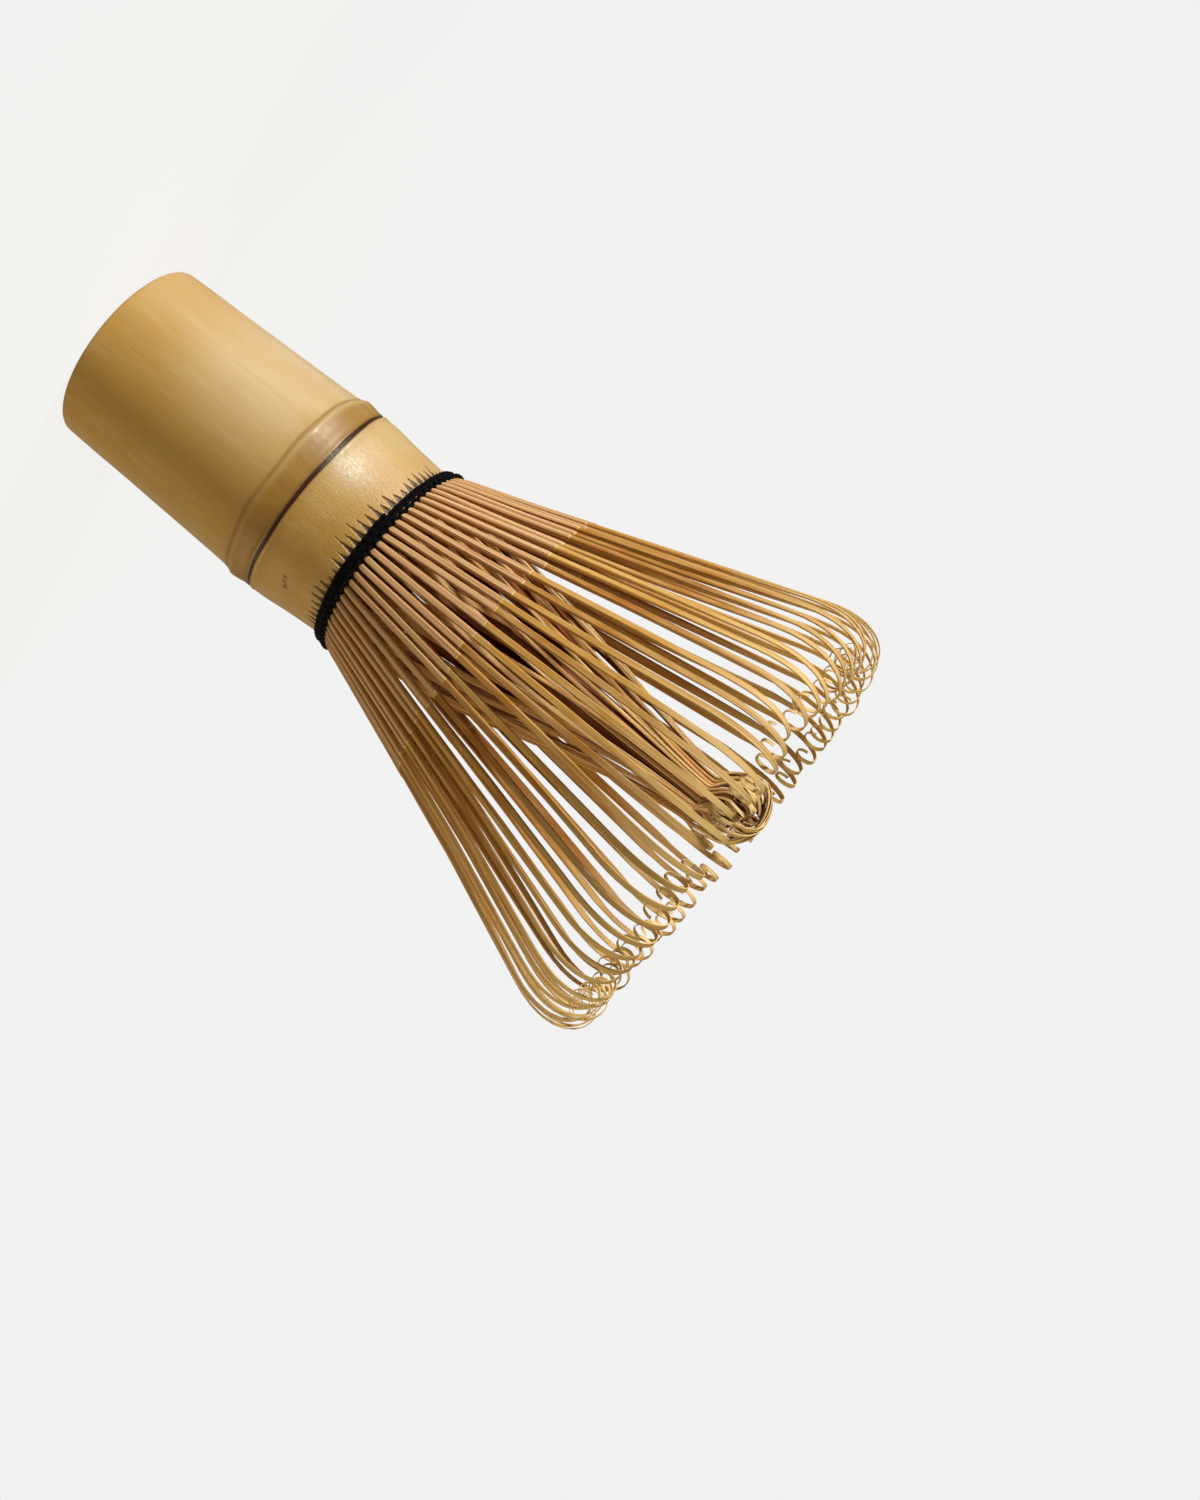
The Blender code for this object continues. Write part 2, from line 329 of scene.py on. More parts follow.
def tine_material(name, golden, deep, skin_colour, tip, flank_shading, inside_shade, flank_shading_end, inside_shade_end):
    """Shaved bamboo. The flank colour is painted shade on the outer tines' flanks and a painted highlight on
    the inner tines' flanks; the inside colour is painted shade on the faces turned to the axis and on
    deep-lying strips. The two end values: how much of those painted colours is left above the root.
    """
    n = Nodes(name)
    fibre = n.attribute("fibre", "Vector")
    along = n.attribute("along")
    skin = n.attribute("skin")
    fine = n.noise(fibre, (3.4, 3.4, 0.05), 3.0)
    patch = n.noise(fibre, (1.2, 1.2, 0.16), 2.0)
    colour = n.paint(
        golden,
        (n.span(n.attribute("tone"), 0.0, 1.0), deep),
        (n.span(patch, 0.35, 0.7, 0.0, 0.35), tip),
        (n.span(along, 0.48, 0.86), tip),
        (n.span(skin, 0.0, 1.0, 0.0, 0.92), skin_colour),
        # painted highlight along the step above the skin
        (n.span(skin, -1.0, -0.2, 0.95, 0.0), tip),
        (n.span(fine, 0.52, 0.74, 0.0, 0.60), deep),
        (n.span(fine, 0.30, 0.44, 0.40, 0.0), tip),
        # flank colour: painted shade low on the outer tines' flanks, a painted highlight on the inner tines'
        # flanks
        (n.times(n.attribute("flank_shading"), n.span(along, 0.15, 0.60, 0.85, flank_shading_end)), flank_shading),
        # inside colour: painted shade on the faces turned to the axis, and through shade on strips that lie
        # deep
        (n.times(n.attribute("inside_shade"), n.span(along, 0.06, 0.40, 0.95, inside_shade_end)), inside_shade),
        (n.attribute("shade"), inside_shade),
    )
    n.bump(fine, 0.00005, 0.8)
    return n.finish(colour, n.span(patch, 0.2, 0.8, 0.36, 0.55), 0.16)


def thread_material():
    n = Nodes("black_thread")
    fuzz = n.noise(n.place(), (9000.0, 9000.0, 9000.0), 2.0)
    n.bump(fuzz, 0.00005, 0.9)
    colour = n.mix(n.span(fuzz, 0.35, 0.75), (0.0004, 0.0004, 0.0006), (0.0022, 0.0022, 0.0028))
    return n.finish(colour, 0.75, 0.10)


# ---------------------------------------------------------------- culm

CULM_OUTLINE = (              # height and radius
    (0.0, 13.25), (3.0, 13.34), (6.0, 13.40), (9.0, 13.46), (12.0, 13.54), (15.0, 13.65), (18.0, 13.74),
    (21.0, 13.83), (24.0, 13.93), (26.5, 14.02), (28.7, 14.12), (29.6, 14.38), (30.2, 14.62), (30.9, 14.54),
    (32.2, 14.36), (34.0, 14.32), (36.0, 14.24), (37.5, 14.06), (39.0, 13.88), (41.0, 13.72), (43.0, 13.56),
    (45.2, 13.36),
)
CULM_AROUND = 720
NODE_RADIUS = 14.5
COLLAR_RADIUS = 13.75
BORE_RADIUS = 9.8
SCAR_SIDE_Z = 33.2            # the groove left by the leaf sheath, and how much higher it is in front
SCAR_FRONT_RISE = 1.5
SCAR_DEPTH = 0.34
SLIT_DEPTH = 0.14
RIDGE_Z = 30.4                # the node's ridge, and how much higher it is in front
RIDGE_FRONT_RISE = 0.7
CUT_ROUNDING = 0.45
SPOTS = (                     # dark spots on the collar: x, height, half width, half height
    (10.55, 38.95, 0.30, 0.26), (10.05, 38.8, 0.26, 0.24),
    (11.15, 39.2, 0.26, 0.34), (10.85, 39.25, 0.20, 0.16),
)
BORE = None                   # stands for the handle's uneven bore in the two lists below
COLLAR_HOLLOW = (             # radius and height of the rings inside the collar, down to the septum
    (11.5, TINE_ROOT), (11.55, 41.0), (11.6, 37.2), (10.6, 35.4), (7.0, 33.6), (2.5, 33.0),
)
HANDLE_HOLLOW = (             # and inside the handle, from the septum down to the cut end
    (2.5, 30.3), (7.0, 30.1), (9.3, 29.0), (BORE, 27.6), (BORE, 14.0), (BORE, 0.35), (BORE, 0.0),
)
MOUTH_FLARE = 0.25            # the bore's broken edge at the cut end


def wobble(theta, *terms):
    """A sum of cosines round the culm; each term is (how many, amplitude, phase)."""
    return sum(amplitude * np.cos(many * theta + phase) for many, amplitude, phase in terms)


def turn_from(theta, azimuth):
    """Signed angle from an azimuth."""
    return np.angle(np.exp(1j * (theta - azimuth)))


def cut_slits(t, z, r):
    """The slits that run down from the gaps between the tines: how deep each point is in one of them
    and how far up it."""
    gap = t / PITCH
    index = np.floor(gap + 0.5).astype(int) % TINES
    lengths = rng.uniform(1.1, 2.3, TINES)
    long_ones = rng.random(TINES) > 0.74
    lengths[long_ones] += rng.uniform(0.5, 1.6, long_ones.sum())
    middle = np.cos(np.arange(TINES) * PITCH - FRONT) > 0.965
    lengths[middle] += rng.uniform(0.2, 1.9, middle.sum())
    lean = rng.normal(0.0, 0.05, TINES)
    tip_z = THREAD_LOW - lengths[index]
    grown = np.clip((z - tip_z) / (THREAD_LOW - tip_z), 0.0, 1.2)
    off_centre = np.abs(gap - np.round(gap) - lean[index] * (1 - grown)) * PITCH * r
    half_width = np.maximum(0.42 * grown ** 1.25, 1e-4)
    slit = (1.0 - smoothstep(0.75, 1.15, off_centre / half_width)) * (z > tip_z)
    return slit, grown


def make_culm():
    theta = np.arange(CULM_AROUND) * math.tau / CULM_AROUND
    # rings of vertices, closest at the node and at the slits
    rows = np.concatenate(([0.0, 0.06, 0.15, 0.28, 0.45, 0.7], np.arange(1.2, 27.0, 0.6),
                           np.arange(27.0, 37.0, 0.07), np.arange(37.0, 39.2, 0.3),
                           np.arange(39.2, TINE_ROOT + 0.06, 0.09)))
    z, t = np.meshgrid(rows, theta, indexing="ij")
    front = np.cos(t - FRONT)
    ridge_rise = RIDGE_FRONT_RISE * front + wobble(t, (2, 0.18, 0.7), (5, 0.10, 2.0), (9, 0.06, 1.0))
    level = z - ridge_rise
    r = smooth_curve(CULM_OUTLINE, np.clip(z - ridge_rise * bump(z, 31.5, 4.5), 0.0, CULM_OUTLINE[-1][0]))
    r += 0.05 * wobble(t, (2, 1.0, 0.4), (3, 0.6, 1.9)) * smoothstep(0, 6, z)
    scar = SCAR_SIDE_Z + SCAR_FRONT_RISE * front
    from_scar = z - (scar + wobble(t, (3, 0.10, 0.5), (7, 0.03, 1.3), (13, 0.02, 0.2)))
    in_groove = from_scar / (0.155 + 0.110 * np.cos(t - FRONT + 0.25))
    r -= SCAR_DEPTH * bump(in_groove, 0.0, 1.0)
    r += 0.07 * bump(from_scar, 0.42, 0.28)
    r -= 0.05 * bump(from_scar, -0.9, 0.5)
    r += 0.005 * wobble(t, (41, 1.0, 0.0), (67, 0.7, 1.0)) * bump(level, RIDGE_Z, 1.4)
    r += 0.06 * bump(level, RIDGE_Z - 0.25, 0.22) - 0.06 * bump(level, RIDGE_Z - 0.95, 0.35)
    edge = np.clip(z / CUT_ROUNDING, 0.0, 1.0)
    r -= CUT_ROUNDING * (1.0 - np.sqrt(np.clip(1.0 - (1.0 - edge) ** 2, 0.0, 1.0)))
    slit, grown = cut_slits(t, z, r)
    r -= SLIT_DEPTH * slit

    bore = BORE_RADIUS + 0.12 * wobble(theta, (2, 1.0, 0.3), (3, 0.7, 1.1), (5, 0.4, 2.1))
    rings = [round_axis(r, t, z).reshape(-1, 3)]
    for radius, height in COLLAR_HOLLOW + HANDLE_HOLLOW:
        radius = bore + (MOUTH_FLARE if height == 0.0 else 0.0) if radius is BORE else radius
        rings.append(round_axis(np.broadcast_to(radius, theta.shape), theta, np.full(CULM_AROUND, height)))
    verts = np.concatenate(rings)
    rims = np.arange(len(verts)).reshape(-1, CULM_AROUND)
    septum_top = len(rows) + len(COLLAR_HOLLOW) - 1
    quads = []
    for lower, upper in zip(rims, np.roll(rims, -1, axis=0)):
        if lower[0] != rims[septum_top, 0]:
            quads.append(np.stack([lower, np.roll(lower, -1), np.roll(upper, -1), upper], -1))
    caps = [tuple(rims[septum_top]), tuple(rims[septum_top + 1][::-1])]
    culm = add_mesh("culm", verts, np.concatenate(quads), caps, smooth_angle=50.0)

    # the node's brown band, darkened over the groove, with a painted shadow line in the hollow under the ridge
    band = smoothstep(RIDGE_Z - 0.9, RIDGE_Z + 0.9, level) * (1 - smoothstep(-0.25, 0.05, from_scar))
    halo_and_ridge_shadow = 0.35 * bump(from_scar, 0.3, 0.7) + 0.75 * bump(level, RIDGE_Z - 0.85, 0.30)
    # the near +X side, turned from the key light, which gets painted shade through amber and is kept clear of
    # the painted sheen
    shadow_side = smoothstep(-0.45, 0.35, np.sin(t - FRONT)) * smoothstep(-0.3, 0.2, front)
    # painted light: a highlight line under the ridge, a broad sheen on the handle away from its shadow side,
    # the lit -X side made lighter, and a reflection along the +X edge
    painted_sheen = (0.30 * bump(level, RIDGE_Z - 0.40, 0.16) + 0.65 * bump(z, 21.0, 9.0) * (1.0 - shadow_side)
            + 0.40 * smoothstep(-0.2, -0.95, np.cos(t)) + 0.45 * smoothstep(0.85, 1.0, np.cos(t)))
    on_collar = bump(turn_from(t, FRONT - 0.45) * COLLAR_RADIUS, 0.0, 2.0) * bump(z, 37.3, 2.7)
    on_ridge = bump(turn_from(t, FRONT - 0.49) * NODE_RADIUS, 0.0, 0.55) * bump(level, RIDGE_Z + 0.1, 0.17)
    amber = 0.75 * (1.0 - smoothstep(7.0, 15.0, z)) + 0.8 * smoothstep(38.5, 42.5, z)
    spot = np.zeros_like(r)
    for x, height, wide, tall in SPOTS:
        azimuth = math.atan2(-math.sqrt(COLLAR_RADIUS ** 2 - x * x), x)
        away = turn_from(t, azimuth) * COLLAR_RADIUS
        spot = np.maximum(spot, np.exp(-((away / wide) ** 2 + ((z - height) / tall) ** 2) ** 1.5))
    marks = {
        # groove: partly the scar's own colour, partly painted shade in its recess
        "groove": 1.5 * bump(in_groove, 0.0, 1.25),
        "band": 0.88 * band + halo_and_ridge_shadow,
        "painted_sheen": painted_sheen,
        # amber also carries the painted shade of the shadow side
        "amber": amber + 0.85 * shadow_side,
        # slit: painted shade inside the cuts, deepest at their open top
        "slit": slit * (0.45 + 0.65 * grown),
        "glint": 0.8 * on_collar + on_ridge,
        "spot": 0.95 * spot,
    }
    hidden = len(verts) - r.size
    for key, values in marks.items():
        put_attribute(culm, key, np.concatenate((np.clip(values, 0, 1).ravel(), np.zeros(hidden))))
    grain = 0.45 + 0.9 * smoothstep(34.5, 36.0, z)
    put_attribute(culm, "grain", np.concatenate((grain.ravel(), np.ones(hidden))))
    return culm


# ---------------------------------------------------------------- outer tines

OUTER_FACE = (                # height and radius of the outer ring's outside
    (44.6, 13.36), (45.6, 13.42), (46.3, 13.78), (47.0, 14.32), (48.0, 14.78), (49.0, 15.16), (52.0, 16.22),
    (100.0, 33.55),
)
FLARE_SLOPE = 0.361
FLARE = math.atan(FLARE_SLOPE)
STRAIGHT_Z = 60.0             # above this the tines flare evenly
SKIN_STEP_Z = 65.0            # the bamboo's skin is left on up to here
SKIN_THICKNESS = 0.09
RIM_Z = 93.1                  # where the lowest tips start to curl
CURL_TURN = 374.0             # degrees
STRIP_END_PLAY = 0.3          # how far the end tines of a strip stray, against the others
CURL_STEPS = 64
CURL_SHARE = (np.arange(CURL_STEPS) + 0.5) / CURL_STEPS


def outer_tine(ribbons, k):
    theta = (k + 0.5) * PITCH
    flare_more = rng.normal(0.0, 0.0045)
    # the end tines of a strip lean into their own strip, so neighbouring strips can flex freely
    per_strip = TINES // OUTER_STRIPS
    keep_in = {0: 1.0, per_strip - 1: -1.0}.get(k % per_strip)

    def astray(spread, mean=0.0):
        value = rng.normal(mean, spread)
        return keep_in * abs(value) * STRIP_END_PLAY if keep_in else value

    sideways = astray(0.24)
    side_bow = astray(0.22)
    bow = rng.normal(0.0, 0.16)
    near_right = max(math.cos(theta - FRONT - 0.6), 0.0)
    far_left = max(-math.cos(theta - FRONT - 0.5), 0.0)
    start = RIM_Z + 1.7 * near_right ** 2.5 + 1.6 * far_left + rng.normal(0.0, 0.18)
    step_z = SKIN_STEP_Z + rng.normal(0.0, 0.35)
    z = np.concatenate((np.linspace(TINE_ROOT, 49.0, 14), np.linspace(50.5, step_z - 0.12, 9),
                        step_z + np.array([0.0, 0.05, 0.25, 0.40]), np.linspace(step_z + 2.5, start, 22)))
    up = np.clip((z - FREE_Z) / (start - FREE_Z), 0.0, 1.0)
    arch = np.sin(math.pi * up)
    open_side, lit_side = max(math.cos(theta), 0.0), max(-math.cos(theta), 0.0)
    face = (smooth_curve(OUTER_FACE, np.minimum(z, STRAIGHT_Z), 1)
            + np.maximum(z - STRAIGHT_Z, 0.0) * FLARE_SLOPE
            + flare_more * np.maximum(z - FREE_Z, 0.0) + bow * arch
            + open_side * (0.20 * smoothstep(60.0, 80.0, z) + 0.055 * np.maximum(z - 77.0, 0.0))
            - lit_side * 0.25 * smoothstep(48.0, 60.0, z))
    skin = (z < step_z + 0.01).astype(float)
    full = np.interp(z, [TINE_ROOT, 49.0, 64.0, 80.0, start], [0.74, 0.86, 0.82, 0.60, 0.36])
    thick = full - SKIN_THICKNESS * (1.0 - skin)
    radius = face - full / math.cos(FLARE) + thick / 2.0 / math.cos(FLARE)
    lateral = sideways * up + side_bow * arch
    wide = np.interp(z, [TINE_ROOT, 49.0, step_z, step_z + 1, 80.0, start], [0.84, 0.86, 1.0, 0.96, 1.0, 0.88])
    facing = math.cos(theta - FRONT)
    wide = wide * (1.0 - (0.10 if facing > 0.0 else 0.30) * facing * smoothstep(50.0, 70.0, z))
    # a thin strip just above the skin's step, painted lighter as a highlight along the step's edge
    step_highlight = (z > step_z + 0.01) & (z < step_z + 0.30)

    # the tip bends gently to upright, then rolls inwards into a small ring
    turn = math.radians(rng.normal(CURL_TURN, 11.0))
    bend = (rng.normal(1.45, 0.09) + rng.normal(18.0, 0.8) * np.exp(-CURL_SHARE / 0.042)
            + rng.normal(3.8, 0.18) * np.exp(-((CURL_SHARE / 0.25) ** 2)))
    heading = math.atan2(radius[-1] - radius[-2], z[-1] - z[-2]) - turn * CURL_SHARE
    chord = bend * turn / CURL_STEPS
    drift = astray(0.34, 0.20 * (1 if k % 2 else -1))
    curl_lateral = drift * CURL_SHARE ** 1.4 + rng.normal(0, 0.12) * np.sin(math.pi * CURL_SHARE)

    radius = np.concatenate((radius, radius[-1] + np.cumsum(chord * np.sin(heading))))
    z = np.concatenate((z, z[-1] + np.cumsum(chord * np.cos(heading))))
    lateral = np.concatenate((lateral, lateral[-1] + curl_lateral))
    out = np.array([math.cos(theta), math.sin(theta), 0.0])
    across = np.array([-math.sin(theta), math.cos(theta), 0.0])
    centre = radius[:, None] * out + lateral[:, None] * across + z[:, None] * np.array([0.0, 0.0, 1.0])
    wide = np.concatenate((wide, np.interp(CURL_SHARE, [0, 0.3, 1.0], [0.85, 0.68, 0.42])))
    thick = np.concatenate((thick, np.interp(CURL_SHARE, [0, 0.20, 1.0], [0.27, 0.17, 0.10])))
    along = np.concatenate((0.66 * up, 0.66 + 0.34 * CURL_SHARE))
    skin = np.concatenate((np.where(step_highlight, -1.0, skin), np.zeros(CURL_STEPS)))
    ribbons.add(centre, np.tile(across, (len(centre), 1)), wide, thick, rng.random(), along, skin, 0.0 * along)


# ---------------------------------------------------------------- inner tines

BUNDLE = (                    # height and radius of the inner ring as it closes into the bundle
    (45.0, 12.05), (52.0, 11.9), (61.0, 11.1), (68.0, 9.9), (76.0, 8.1), (84.0, 6.3), (90.0, 5.0), (96.0, 4.0),
    (100.0, 3.9),
)
BUNDLE_TOP = 97.5
HEAD = np.array([-3.1, 0.3, 102.1])
HEAD_RADIUS = 5.4
HEAD_SQUASH = 0.82
HEAD_STEPS = 46
HEAD_SHARE = (np.arange(HEAD_STEPS) + 1.0) / HEAD_STEPS
ROLL_STEPS = 16


def bundle_centre(z):
    return HEAD[:2] * (0.52 * smoothstep(50.0, 90.0, z))[:, None]


def draw_wrap(angle):
    """How far over the head a tip from this azimuth reaches, and how far it swings round on the way."""
    facing, from_left = math.cos(angle - FRONT), math.cos(angle) < -0.15
    if facing > 0.40:
        reach, spin = ((1.9, 2.35), (0.0, 0.10)) if from_left else ((1.5, 2.0), (0.0, 0.12))
    elif not from_left:
        reach, spin = (2.3, 3.0), (0.0, 0.25)
    elif facing < -0.2:
        reach, spin = (3.7, 4.3), (0.0, 0.12)
    else:
        reach, spin = (2.8, 3.6), (0.1, 0.2)
    return rng.uniform(*reach), rng.normal(*spin)


def wrap_over_head(stem_end, radius, angle, depth):
    """The tip's way over the round head of the bundle, and the directions out of the head there."""
    shell = HEAD_RADIUS * (0.62 + 0.38 * depth) + rng.normal(0.0, 0.12)
    start_polar = math.asin(min(0.95, radius / shell * 0.98))
    reach, spin = draw_wrap(angle)
    polar = start_polar + (reach - start_polar) * HEAD_SHARE
    ball = round_axis(np.sin(polar), angle + spin * HEAD_SHARE ** 1.3, -np.cos(polar))
    tilt = Matrix.Rotation(rng.normal(0.22, 0.12), 3, "Y") @ Matrix.Rotation(rng.normal(0.0, 0.14), 3, "X")
    ease = smoothstep(0.0, 0.35, HEAD_SHARE)[:, None]
    ball = unit(ball * (1 - ease) + ball @ np.array(tilt).T * ease)
    closing = shell * (1.0 - 0.06 * HEAD_SHARE ** 3)
    head = HEAD + ball * closing[:, None] * np.array([1.0, 1.0, HEAD_SQUASH])
    # its start is drawn onto the end of the stem
    bottom = HEAD[2] - HEAD_SQUASH * shell * math.cos(start_polar)
    lift = np.append(stem_end - HEAD[:2], BUNDLE_TOP - bottom + 0.5)
    return head + lift * (1 - smoothstep(0.0, 0.5, HEAD_SHARE))[:, None], ball


def roll_end(head, out):
    """The last few millimetres roll in on themselves: their path and the directions out of the roll."""
    forward = head[-1] - head[-2]
    forward /= np.linalg.norm(forward)
    inward = -out + out.dot(forward) * forward
    inward /= np.linalg.norm(inward)
    phi = np.linspace(0.25, rng.uniform(2.6, 4.4), ROLL_STEPS)[:, None]
    roll = rng.uniform(0.70, 1.05)
    path = (head[-1] + roll * (np.sin(phi) * forward + (1.0 - np.cos(phi)) * inward)
            + phi * rng.normal(0.0, 0.07) * np.cross(forward, inward))
    return path, np.sin(phi) * forward - np.cos(phi) * inward


def inner_tine(ribbons, k):
    outer_layer = k % 3 != 0
    lean = 1.0 if k % 3 == 1 else -1.0
    z = np.linspace(TINE_ROOT, BUNDLE_TOP, 44)
    up = np.clip((z - FREE_Z) / (BUNDLE_TOP - FREE_Z), 0.0, 1.0)
    depth = rng.uniform(0.86, 1.02) if outer_layer else rng.uniform(0.55, 0.75)
    radius = smooth_curve(BUNDLE, z, 1) * (1.0 + (depth - 1.0) * smoothstep(0.0, 0.85, up))
    swing = ((0.17 * lean + rng.normal(0.0, 0.13)) * smoothstep(0.05, 0.85, up)
             + rng.normal(0.0, 0.05) * np.sin(math.pi * up) + 0.15 * up ** 2)
    angle = k * PITCH + swing
    middle = bundle_centre(z)
    stem = round_axis(radius, angle, z)
    stem[:, :2] += middle
    head, head_out = wrap_over_head(middle[-1], radius[-1], angle[-1], depth)
    roll, roll_out = roll_end(head, head_out[-1])
    line = np.concatenate((stem, head, roll))
    for _ in range(3):
        line[2:-2] = (line[1:-3] + 2 * line[2:-2] + line[3:-1]) / 4.0

    # the strip's broad face, turned a little about its own length between root and tip
    out = np.concatenate((round_axis(1.0, angle, 0 * angle), head_out, roll_out))
    across = unit(np.cross(np.gradient(line, axis=0), out))
    run = np.linspace(0, 1, len(line))
    twist = rng.normal(0.50 if outer_layer else 0.0, 0.25) * np.sin(math.pi * run ** 0.6)
    twist = (twist * smoothstep(0.03, 0.12, run))[:, None]
    across = across * np.cos(twist) + out * np.sin(twist)

    low, half_way, neck = (0.70, 0.60, 0.44) if outer_layer else (1.75, 1.25, 0.70)
    wide = np.concatenate((
        np.interp(up, [0, 0.08, 0.20, 0.32, 0.5, 1], [0.78, 0.78, 0.5 * low + 0.4, low, half_way, neck]),
        np.interp(HEAD_SHARE, [0, 1], [neck, 0.44]), np.linspace(0.42, 0.34, ROLL_STEPS)))
    thick = np.concatenate((np.interp(up, [0, 0.4, 1], [0.46, 0.34, 0.24]),
                            np.interp(HEAD_SHARE, [0, 1], [0.20, 0.12]), np.full(ROLL_STEPS, 0.11)))
    along = np.concatenate((0.5 * up, 0.5 + 0.4 * HEAD_SHARE, np.linspace(0.9, 1.0, ROLL_STEPS)))
    # the thread shades the roots, and the outer layer shades the inner one all the way up
    if outer_layer:
        shade, tip_shade = 1.0 - smoothstep(46.0, 52.0, z), 0.0
    else:
        shade, tip_shade = np.interp(z, [TINE_ROOT, 90.0, BUNDLE_TOP], [1.0, 1.0, 0.7]), 0.45
    shade = np.concatenate((shade, np.full(HEAD_STEPS + ROLL_STEPS, tip_shade)))
    ribbons.add(line, across, wide, thick, rng.random(), along, 0.0 * along, 0.85 * shade)


# ---------------------------------------------------------------- thread

YARN_SIDES = 12
BINDING_TURNS = 2.6
BINDING_RISE = 0.46           # per turn
BINDING_RADIUS = 14.02
LACING_RADIUS = 14.22
LACING_Z = 46.62
SPACER_RADIUS = 12.78
SPACER_Z = 47.6


def lay_yarn(angle, r, z, thickness, lay):
    """Two-ply yarn laid round the axis; lay is the length of one turn of its plies."""
    path = round_axis(r, angle, z)
    tangent = unit(np.gradient(path, axis=0))
    a = square_to(round_axis(1.0, angle, 0 * angle), tangent)
    b = np.cross(tangent, a)
    phi = np.arange(YARN_SIDES) * math.tau / YARN_SIDES
    swell = 0.80 + 0.20 * np.abs(np.cos(phi[None, :] - arc_length(path)[:, None] * math.tau / lay))
    around = np.cos(phi)[None, :, None] * a[:, None, :] + np.sin(phi)[None, :, None] * b[:, None, :]
    ring = path[:, None, :] + (thickness * swell)[..., None] * around
    n = len(path)
    caps = [tuple(range(YARN_SIDES))[::-1], tuple(range((n - 1) * YARN_SIDES, n * YARN_SIDES))]
    return ring.reshape(-1, 3), sleeve(n, YARN_SIDES), caps


def join_yarns(name, yarns):
    verts, quads, caps, base = [], [], [], 0
    for v, q, c in yarns:
        verts.append(v)
        quads.append(q + base)
        caps += [tuple(i + base for i in cap) for cap in c]
        base += len(v)
    return add_mesh(name, np.concatenate(verts), np.concatenate(quads), caps, smooth_angle=None)


def make_binding():
    per_turn = 640
    t = np.arange(int(BINDING_TURNS * per_turn) + 1) / per_turn
    angle = t * math.tau + FRONT - 0.29
    z = (THREAD_LOW + 0.27 + t * BINDING_RISE - 0.16 * np.cos(angle - FRONT)
         + 0.04 * np.sin(angle * 7.0) + 0.03 * np.sin(angle * 23.0))
    r = BINDING_RADIUS + 0.04 * np.sin(angle * 5.0 + 1.0) + 0.05 * np.cos(angle * TINES)
    turns_round = lay_yarn(angle, r, z, 0.26, 0.9)
    # the lacing row dips between the tines at the top of the band
    angle = np.arange(1501) / 1500 * math.tau * 0.997 + FRONT + 0.9
    beat = np.cos(angle * TINES)
    z = LACING_Z + 0.17 * beat - 0.16 * np.cos(angle - FRONT) + 0.03 * np.sin(angle * 11.0)
    lacing = lay_yarn(angle, LACING_RADIUS - 0.22 * beat, z, 0.25, 0.8)
    return join_yarns("thread_binding", [turns_round, lacing])


def make_spacer():
    angle = np.arange(1201) / 1200 * math.tau * 0.99 + 0.4
    beat = angle * TINES / 2.0
    r, z = SPACER_RADIUS + 0.10 * np.cos(beat), SPACER_Z + 0.10 * np.sin(beat)
    yarn = lay_yarn(angle, r, z, 0.24, 0.8)
    return join_yarns("thread_spacer", [yarn])


# ---------------------------------------------------------------- put the pieces together

def dress(obj, material, body, node):
    obj.data.materials.append(material)
    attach(obj, body)
    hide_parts(node)


def make_ring(kind, strips, node_name, tine, look):
    """One ring of tines, as strips that each ride their own body."""
    per_strip = TINES // strips
    for strip in range(strips):
        ribbons = Ribbons()
        for k in range(strip * per_strip, (strip + 1) * per_strip):
            tine(ribbons, k)
        number = node_name.format(strip + 1)
        node = f"{kind}_tines_{number}"
        dress(ribbons.make(f"tines_{kind}_{number}"), look, node, node)


thread_look = thread_material()
dress(make_culm(), culm_material(), "handle", "culm_handle")
dress(make_binding(), thread_look, "handle", "binding_thread")
dress(make_spacer(), thread_look, "handle", "spacer_thread")
# outer tines: the flank and inside colours are painted shade between and behind the tines, strongest near the
# root
make_ring("outer", OUTER_STRIPS, "{:02d}", outer_tine, tine_material(
    "outer_tine_bamboo", golden=(0.71, 0.375, 0.082), deep=(0.42, 0.150, 0.015),
    skin_colour=(0.80, 0.475, 0.230), tip=(0.94, 0.68, 0.28), flank_shading=(0.46, 0.20, 0.035),
    inside_shade=(0.30, 0.085, 0.010), flank_shading_end=0.15, inside_shade_end=0.10))
# inner tines: the bamboo is painted lighter to stand in for the light on the bundle, the flank colour is a
# painted highlight along the strips' edges, and the inside colour is painted shade
make_ring("inner", INNER_STRIPS, "{}", inner_tine, tine_material(
    "inner_tine_bamboo_painted_light", golden=(0.97, 0.62, 0.24), deep=(0.66, 0.27, 0.045),
    skin_colour=(0.62, 0.37, 0.17), tip=(0.98, 0.72, 0.31), flank_shading=(0.97, 0.72, 0.34),
    inside_shade=(0.20, 0.028, 0.002), flank_shading_end=0.60, inside_shade_end=0.85))


# ---------------------------------------------------------------- floor, light, camera

BACKDROP = 0.885
ROOM = (0.082, 0.052, 0.012)
MIRRORED = (0.46, 0.38, 0.25)
FLOOR_SIZE = 3.0
FLOOR_LIT = 0.22              # what the lights add to the matt share
FLOOR_GLOW = 0.16             # share of the glow that lights the whisk from below
WHISK_MIDDLE = Vector((0.0, 0.0, 0.06))
LIGHT_DISTANCE = 0.8
CAMERA_PLACE = (0.00226, -0.2856, 0.11665)
CAMERA_RIGHT = Vector((-0.6252, 0.0897, 0.7750))
CAMERA_UP = Vector((-0.7802, -0.0719, -0.6210))


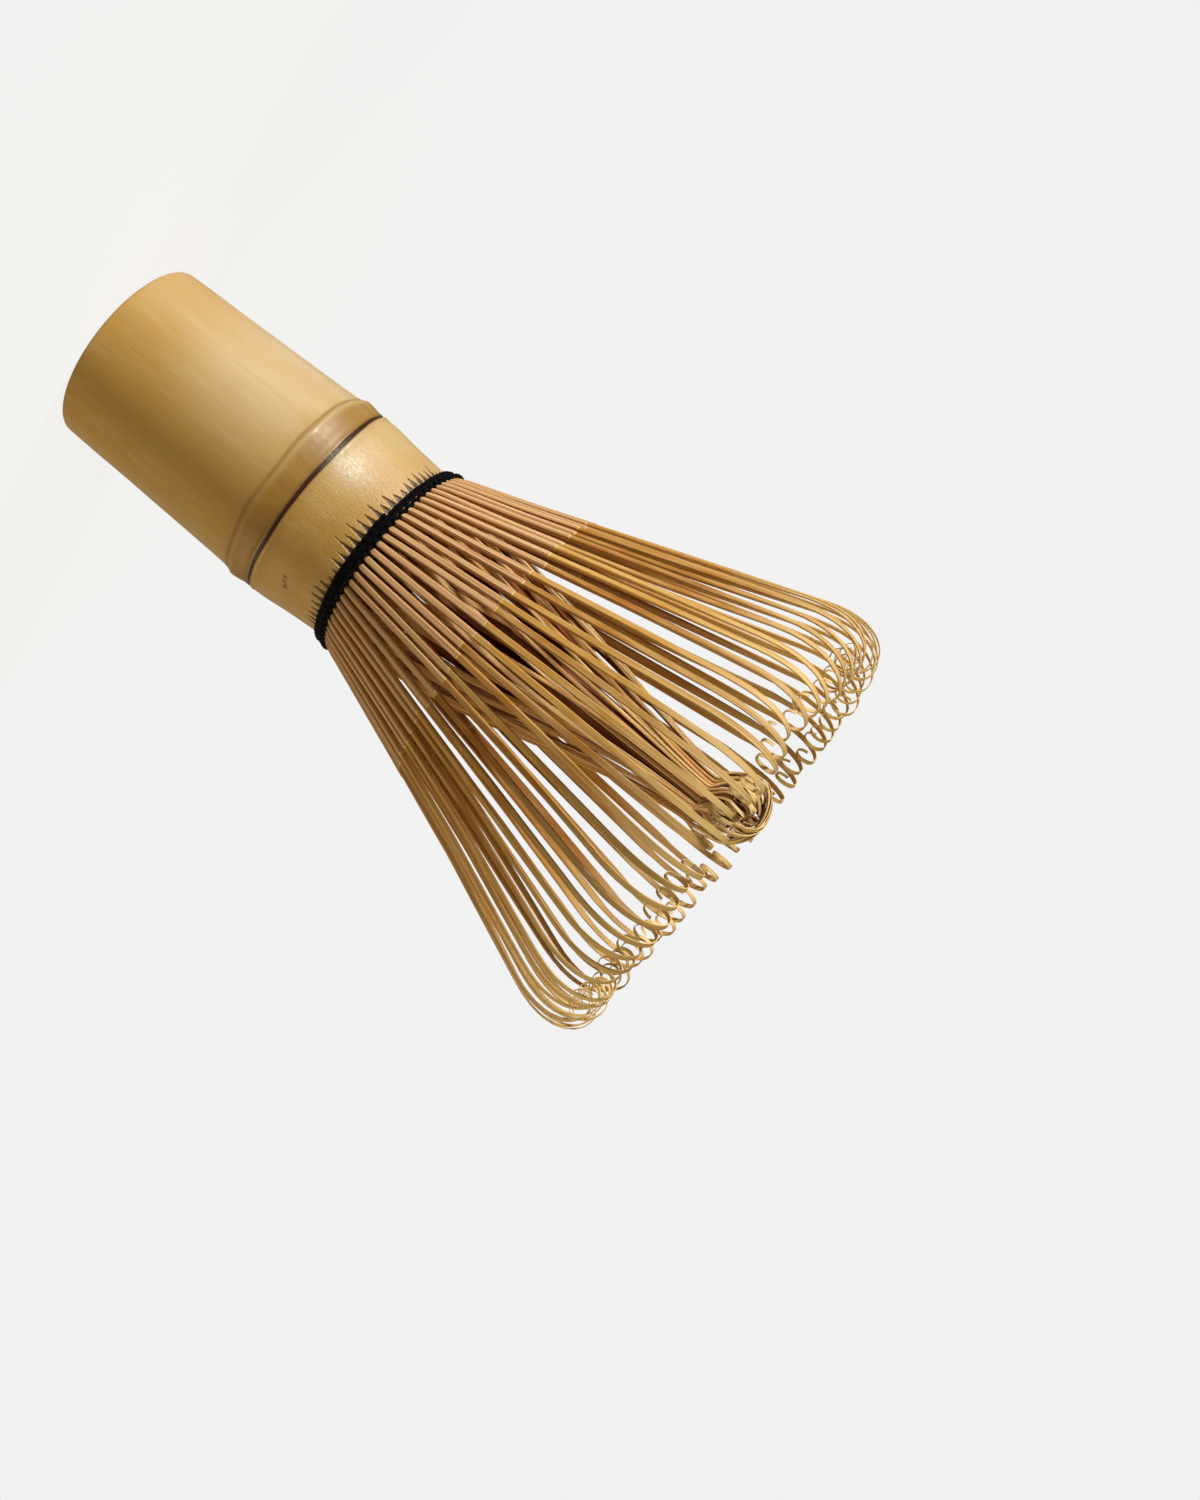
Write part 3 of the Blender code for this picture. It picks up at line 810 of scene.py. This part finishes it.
def floor_material():
    n = Nodes("floor_paper")
    away = n.new("ShaderNodeVectorMath", operation="LENGTH")
    n.plug(n.place(), away.inputs[0])
    matt_share = n.span(away.outputs["Value"], 0.02, 0.16, 0.30, 0.0)
    # the matt share is lit by the room, and the glow makes up the rest of the backdrop's brightness
    missing = n.math("SUBTRACT", BACKDROP, n.times(matt_share, FLOOR_LIT))
    strength = n.math("DIVIDE", missing, n.math("SUBTRACT", 1.0, matt_share))
    # only the camera sees the glow at full strength
    seen = n.span(n.new("ShaderNodeLightPath").outputs["Is Camera Ray"], 0.0, 1.0, FLOOR_GLOW, 1.0)
    glow = n.new("ShaderNodeEmission")
    n.plug((1.0, 1.0, 0.996, 1.0), glow.inputs["Color"])
    n.plug(n.times(strength, seen), glow.inputs["Strength"])
    matt = n.new("ShaderNodeBsdfDiffuse")
    n.plug((0.80, 0.83, 0.86, 1.0), matt.inputs["Color"])
    mix = n.new("ShaderNodeMixShader")
    for value, socket in zip((matt_share, glow.outputs[0], matt.outputs[0]), mix.inputs):
        n.plug(value, socket)
    n.tree.nodes.remove(n.shader)
    n.plug(mix.outputs[0], n.tree.nodes["Material Output"].inputs["Surface"])
    return n.material


def make_floor():
    mesh = bpy.data.meshes.new("floor")
    corners = [(x * FLOOR_SIZE, y * FLOOR_SIZE, 0) for x, y in ((-1, -1), (1, -1), (1, 1), (-1, 1))]
    mesh.from_pydata(corners, [], [(0, 1, 2, 3)])
    mesh.materials.append(floor_material())
    floor = link("floor", mesh)
    floor.location.z = culm_lo.z - 0.0002


def add_sun(name, direction, energy, angle, colour):
    """A sun that shines on the whisk from the given direction."""
    data = bpy.data.lights.new(name, "SUN")
    data.energy = energy
    data.color = colour
    data.angle = angle
    sun = link(name, data)
    way = Vector(direction).normalized()
    sun.location = WHISK_MIDDLE + way * LIGHT_DISTANCE
    sun.rotation_mode = "QUATERNION"
    sun.rotation_quaternion = way.to_track_quat("Z", "Y")


def make_world():
    """Dim to light the whisk, warm in its reflections, and light paper behind it."""
    world = bpy.data.worlds.new("studio")
    bpy.context.scene.world = world
    world.use_nodes = True
    tree = world.node_tree
    path = tree.nodes.new("ShaderNodeLightPath")
    colour = None
    paper = (BACKDROP, BACKDROP, BACKDROP * 0.993)
    for rays, seen in (("Is Glossy Ray", MIRRORED), ("Is Camera Ray", paper)):
        pick = tree.nodes.new("ShaderNodeMix")
        pick.data_type = "RGBA"
        pick.inputs[6].default_value = (*ROOM, 1.0)
        pick.inputs[7].default_value = (*seen, 1.0)
        if colour is not None:
            tree.links.new(colour, pick.inputs[6])
        tree.links.new(path.outputs[rays], pick.inputs[0])
        colour = pick.outputs[2]
    tree.links.new(colour, tree.nodes["Background"].inputs["Color"])


def make_camera():
    data = bpy.data.cameras.new("camera")
    data.sensor_width = 36.0
    data.lens = 52.8
    data.clip_start = 0.01
    data.clip_end = 20.0
    camera = link("camera", data)
    shadow_side = CAMERA_RIGHT.normalized()
    back = CAMERA_RIGHT.cross(CAMERA_UP).normalized()
    turn = Matrix((shadow_side, back.cross(shadow_side).normalized(), back)).transposed().to_4x4()
    camera.matrix_world = Matrix.Translation(CAMERA_PLACE) @ turn
    bpy.context.scene.camera = camera


make_floor()
make_world()
add_sun("key", (-0.87, -0.455, 0.09), 3.45, 0.10, (0.99, 0.99, 1.02))
add_sun("fill", (-0.25, -1.0, 0.25), 0.22, 0.4, (1.0, 0.93, 0.80))
add_sun("bounce", (0.98, 0.05, 0.22), 1.55, 0.8, (1.0, 0.91, 0.64))
make_camera()
bpy.context.scene.view_settings.view_transform = "Standard"
